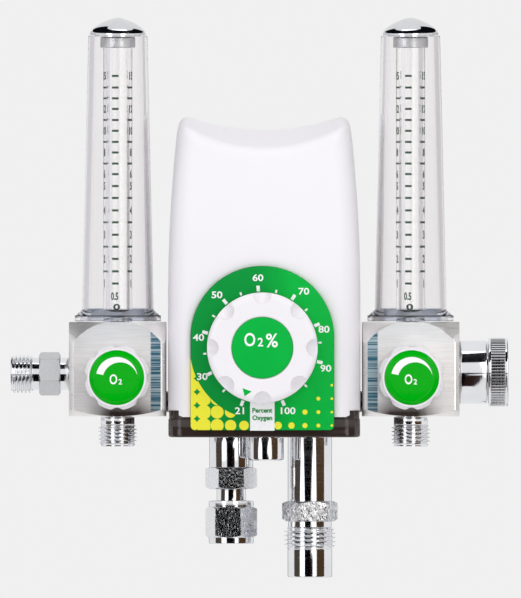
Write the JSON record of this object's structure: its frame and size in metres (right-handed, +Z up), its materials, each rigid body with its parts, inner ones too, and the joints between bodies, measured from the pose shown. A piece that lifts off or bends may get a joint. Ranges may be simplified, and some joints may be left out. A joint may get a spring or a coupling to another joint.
{
  "type": "air oxygen blender",
  "caption": "Wall-hung air and oxygen blender: moulded cover, arch dial with a mixing knob, a flowmeter with a clear tube at each side, gas inlets below.",
  "frame": {"origin": "centre of the wall slide's flat back face", "axes": "+Z up, +Y out of the back towards the wall, +X to the right as seen from the front"},
  "size_m": [0.1841, 0.0847, 0.2073],
  "materials": {
    "white_plastic": "satin moulded",
    "dark_plastic": "glossy",
    "green_plastic": "printed, glossy",
    "chrome": "polished plating",
    "aluminium": "fine turned",
    "brass": "machined",
    "steel": "polished",
    "clear_plastic": "clear",
    "rubber": "matt"
  },
  "bodies": {
    "housing": {"front_cover": "white_plastic", "manifold_block": "dark_plastic", "connector_left": "dark_plastic", "connector_right": "dark_plastic", "dial_panel": "green_plastic", "oxygen_inlet": "chrome", "air_inlet": "chrome", "alarm_outlet": "chrome", "auxiliary_outlet": "chrome", "auxiliary_barrel": "chrome", "outlet_fitting_left": "chrome", "outlet_fitting_right": "chrome", "wall_slide": "aluminium", "back_plate": "aluminium", "balance_plug_left": "aluminium", "balance_plug_right": "aluminium", "flow_block_left": "aluminium", "flow_block_right": "aluminium", "tube_bushing_left": "aluminium", "tube_bushing_right": "aluminium", "mix_cartridge": "brass", "mix_gland": "brass", "balance_sleeve_left": "brass", "balance_sleeve_right": "brass", "bonnet_left": "brass", "bonnet_right": "brass", "oxygen_filter": "brass", "air_filter": "brass", "slide_screw_upper": "steel", "slide_screw_lower": "steel", "cover_screw_left": "steel", "cover_screw_right": "steel", "tube_cap_left": "steel", "tube_cap_right": "steel", "shroud_left": "clear_plastic", "shroud_right": "clear_plastic", "flow_tube_left": "clear_plastic", "flow_tube_right": "clear_plastic", "balance_diaphragm": "rubber", "oxygen_check_valve": "rubber", "air_check_valve": "rubber", "tube_seal_left": "rubber", "tube_seal_right": "rubber"},
    "mixing_knob": {"mix_knob": "white_plastic", "mix_knob_disc": "green_plastic", "mix_spindle": "steel"},
    "left_flow_knob": {"flow_knob_left": "white_plastic", "flow_disc_left": "green_plastic", "flow_stem_left": "steel"},
    "right_flow_knob": {"flow_knob_right": "white_plastic", "flow_disc_right": "green_plastic", "flow_stem_right": "steel"},
    "left_float": {"float_left": "steel"},
    "right_float": {"float_right": "steel"},
    "inlet_nut": {"oxygen_nut": "chrome"},
    "outlet_collar": {"auxiliary_collar": "chrome"},
    "spool": {"balance_spool": "steel"}
  },
  "joints": [
    {"name": "mixing_knob_turn", "type": "hinge", "parent": "housing", "child": "mixing_knob", "pos_m": [-0.0007, -0.07, -0.0175], "axis": [0, 1, 0], "range_deg": [0, 319]},
    {"name": "left_flow_knob_turn", "type": "hinge", "parent": "housing", "child": "left_flow_knob", "pos_m": [-0.0542, -0.06, -0.0285], "axis": [0, -1, 0], "range_deg": [0, 540]},
    {"name": "right_flow_knob_turn", "type": "hinge", "parent": "housing", "child": "right_flow_knob", "pos_m": [0.0542, -0.06, -0.0285], "axis": [0, -1, 0], "range_deg": [0, 540]},
    {"name": "left_float_rise", "type": "slide", "parent": "housing", "child": "left_float", "axis": [0, 0, 1], "range_m": [0, 0.096]},
    {"name": "right_float_rise", "type": "slide", "parent": "housing", "child": "right_float", "axis": [0, 0, 1], "range_m": [0, 0.096]},
    {"name": "inlet_nut_turn", "type": "hinge", "parent": "housing", "child": "inlet_nut", "pos_m": [-0.0122, -0.033, -0.08], "axis": [0, 0, 1], "continuous": true},
    {"name": "outlet_collar_turn", "type": "hinge", "parent": "housing", "child": "outlet_collar", "pos_m": [0.085, -0.036, -0.0267], "axis": [1, 0, 0], "continuous": true},
    {"name": "spool_shift", "type": "slide", "parent": "housing", "child": "spool", "axis": [1, 0, 0], "range_m": [-0.0008, 0.0008]}
  ]
}
